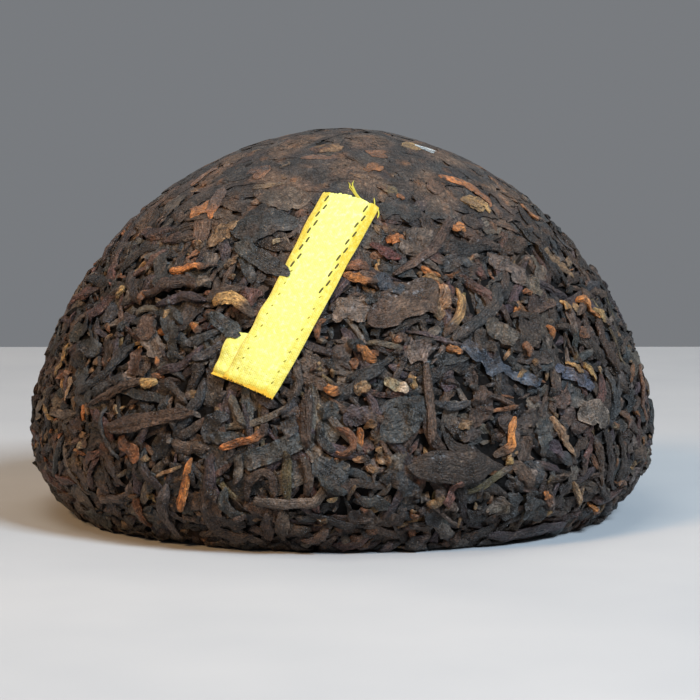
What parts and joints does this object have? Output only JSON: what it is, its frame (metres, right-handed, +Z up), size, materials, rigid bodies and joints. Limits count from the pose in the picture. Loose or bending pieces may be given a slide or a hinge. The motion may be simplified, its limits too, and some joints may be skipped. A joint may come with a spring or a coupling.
{
  "type": "pu-erh tuocha",
  "caption": "Bowl-shaped nest of compressed dark tea leaf, standing dome up on its rim, hollow underneath, with a short woven ribbon pressed into its front.",
  "frame": {"origin": "middle of the flat ring that the nest stands on", "axes": "+Z up through the top of the dome, -Y towards the side with the ribbon, +X to the right as seen from that side"},
  "size_m": [0.0984, 0.0988, 0.0605],
  "materials": {
    "tea_leaf": "dry, wrinkled leaf with a dull sheen",
    "ribbon": "plain woven, matte"
  },
  "bodies": {
    "root": {"tea_nest": "tea_leaf", "ribbon": "ribbon"}
  },
  "joints": []
}
